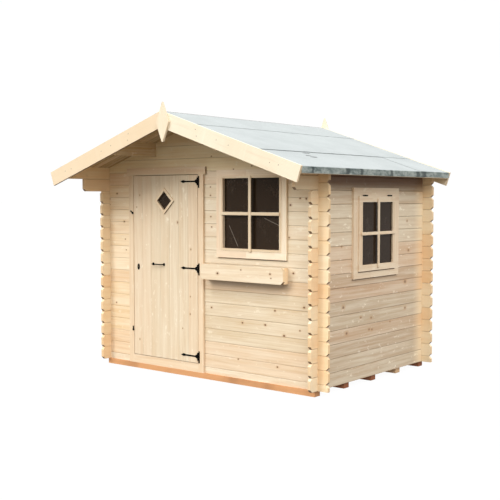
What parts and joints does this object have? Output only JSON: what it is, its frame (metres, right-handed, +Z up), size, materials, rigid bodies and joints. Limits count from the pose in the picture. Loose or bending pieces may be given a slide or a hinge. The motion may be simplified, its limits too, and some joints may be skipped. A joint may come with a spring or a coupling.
{
  "type": "log cabin",
  "caption": "Small gabled garden log cabin with notched log corners, a plank door on T hinges with a diamond light, a front window with a window box, and a side window.",
  "frame": {"origin": "on the ground, under the middle of the plan of the four walls", "axes": "+X along the front to the right of someone facing the door, +Y from the front wall to the back wall, +Z up"},
  "size_m": [2.848, 2.4126, 2.3986],
  "materials": {
    "log_timber": "planed, untreated spruce",
    "trim_timber": "planed, untreated spruce",
    "door_timber": "planed, untreated spruce",
    "roof_board_timber": "planed boards",
    "floor_timber": "planed boards",
    "treated_timber": "sawn, pressure treated",
    "roof_felt": "mineral-faced roofing felt",
    "black_metal": "satin black",
    "glass": "clear"
  },
  "bodies": {
    "cabin": {"front_sill_log": "log_timber", "front_wall_left": "log_timber", "front_wall_under_window": "log_timber", "front_wall_beside_window": "log_timber", "front_gable": "log_timber", "back_wall": "log_timber", "back_gable": "log_timber", "left_wall": "log_timber", "left_wall_top": "log_timber", "right_wall_under_window": "log_timber", "right_wall_beside_window": "log_timber", "right_wall_top": "log_timber", "ridge_beam": "log_timber", "purlins": "log_timber", "roof_boards_left": "roof_board_timber", "roof_boards_right": "roof_board_timber", "eave_fascias": "roof_board_timber", "front_bargeboards": "trim_timber", "back_bargeboards": "trim_timber", "front_finial": "trim_timber", "back_finial": "trim_timber", "front_window_frame": "trim_timber", "side_window_frame": "trim_timber", "side_window_sash": "trim_timber", "door_frame_left": "trim_timber", "door_frame_right": "trim_timber", "door_frame_head": "trim_timber", "door_frame_foot": "trim_timber", "window_box_front": "trim_timber", "window_box_tray": "trim_timber", "hinge_plates": "black_metal", "front_window_glass": "glass", "side_window_glass": "glass", "bearers": "treated_timber", "floor_boards": "floor_timber", "roof_felt": "roof_felt"},
    "door": {"door_boards": "door_timber", "door_ledges": "door_timber", "door_window_trim": "trim_timber", "door_window_glass": "glass", "hinge_straps": "black_metal", "door_handle": "black_metal", "keyhole_plate": "black_metal"},
    "upper_button": {"upper_turn_button": "black_metal"},
    "lower_button": {"lower_turn_button": "black_metal"}
  },
  "joints": [
    {"name": "door_hinge", "type": "hinge", "parent": "cabin", "child": "door", "pos_m": [-0.0445, -0.889, 0.963], "axis": [0, 0, 1], "range_deg": [0, 110]},
    {"name": "upper_button_pivot", "type": "hinge", "parent": "cabin", "child": "upper_button", "pos_m": [-0.86, -0.883, 1.444], "axis": [0, -1, 0], "range_deg": [-150, 30]},
    {"name": "lower_button_pivot", "type": "hinge", "parent": "cabin", "child": "lower_button", "pos_m": [-0.86, -0.883, 0.356], "axis": [0, -1, 0], "range_deg": [-90, 90]}
  ]
}
